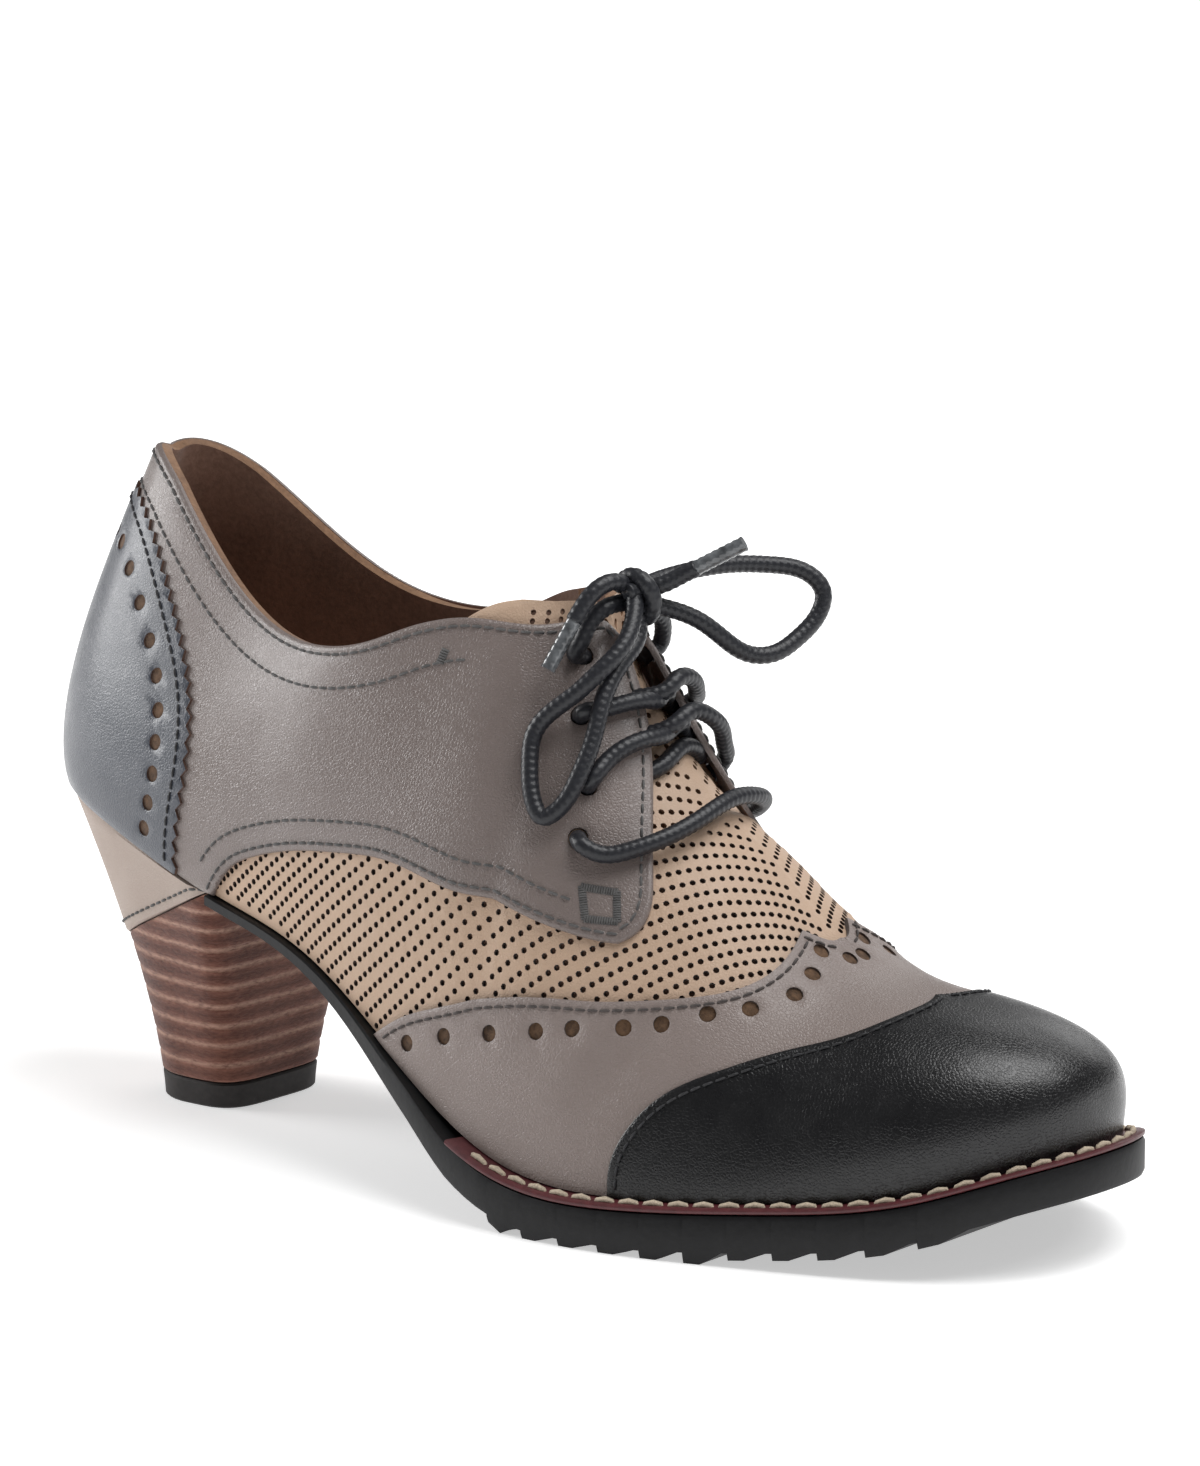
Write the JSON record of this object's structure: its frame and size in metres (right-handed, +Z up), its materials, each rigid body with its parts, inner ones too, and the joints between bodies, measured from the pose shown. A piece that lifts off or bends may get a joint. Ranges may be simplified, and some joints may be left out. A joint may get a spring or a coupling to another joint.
{
  "type": "heeled oxford shoe",
  "caption": "Laced wing-tip oxford shoe on a tapered stacked heel, with toe cap, heel counter, open throat and tied lace, right foot.",
  "frame": {"origin": "middle of the heel tip's underside, on the floor", "axes": "+X forward to the toe, +Y to the inner side of the foot, +Z up"},
  "size_m": [0.2422, 0.0885, 0.1268],
  "materials": {
    "taupe_leather": "smooth fine-grained calf, semi-matte",
    "beige_leather": "soft matte nappa with punched holes",
    "black_leather": "fine-grained, semi-gloss",
    "navy_leather": "near-black navy, semi-gloss",
    "lining": "brushed suede lining",
    "sole_rubber": "matte black rubber",
    "welt": "burgundy welting, waxed",
    "stacked_heel": "stacked leather, matte",
    "heel_tip_rubber": "matte dark grey rubber",
    "lace": "waxed round cotton braid",
    "aglet": "clear grey film"
  },
  "bodies": {
    "root": {"aglet_inner": "aglet", "aglet_outer": "aglet", "counter": "navy_leather", "heel_cover": "taupe_leather", "heel_stack": "stacked_heel", "heel_tip": "heel_tip_rubber", "insole": "lining", "lace_bar": "lace", "lace_crossing_lower": "lace", "lace_crossing_upper": "lace", "lace_end_inner": "lace", "lace_end_outer": "lace", "lace_knot": "lace", "lace_loop_inner": "lace", "lace_loop_outer": "lace", "lace_rise_inner": "lace", "lace_rise_outer": "lace", "outsole": "sole_rubber", "quarter_inner": "taupe_leather", "quarter_outer": "taupe_leather", "toe_cap": "black_leather", "tongue": "beige_leather", "upper": "beige_leather", "welt": "welt", "wing": "taupe_leather"}
  },
  "joints": []
}
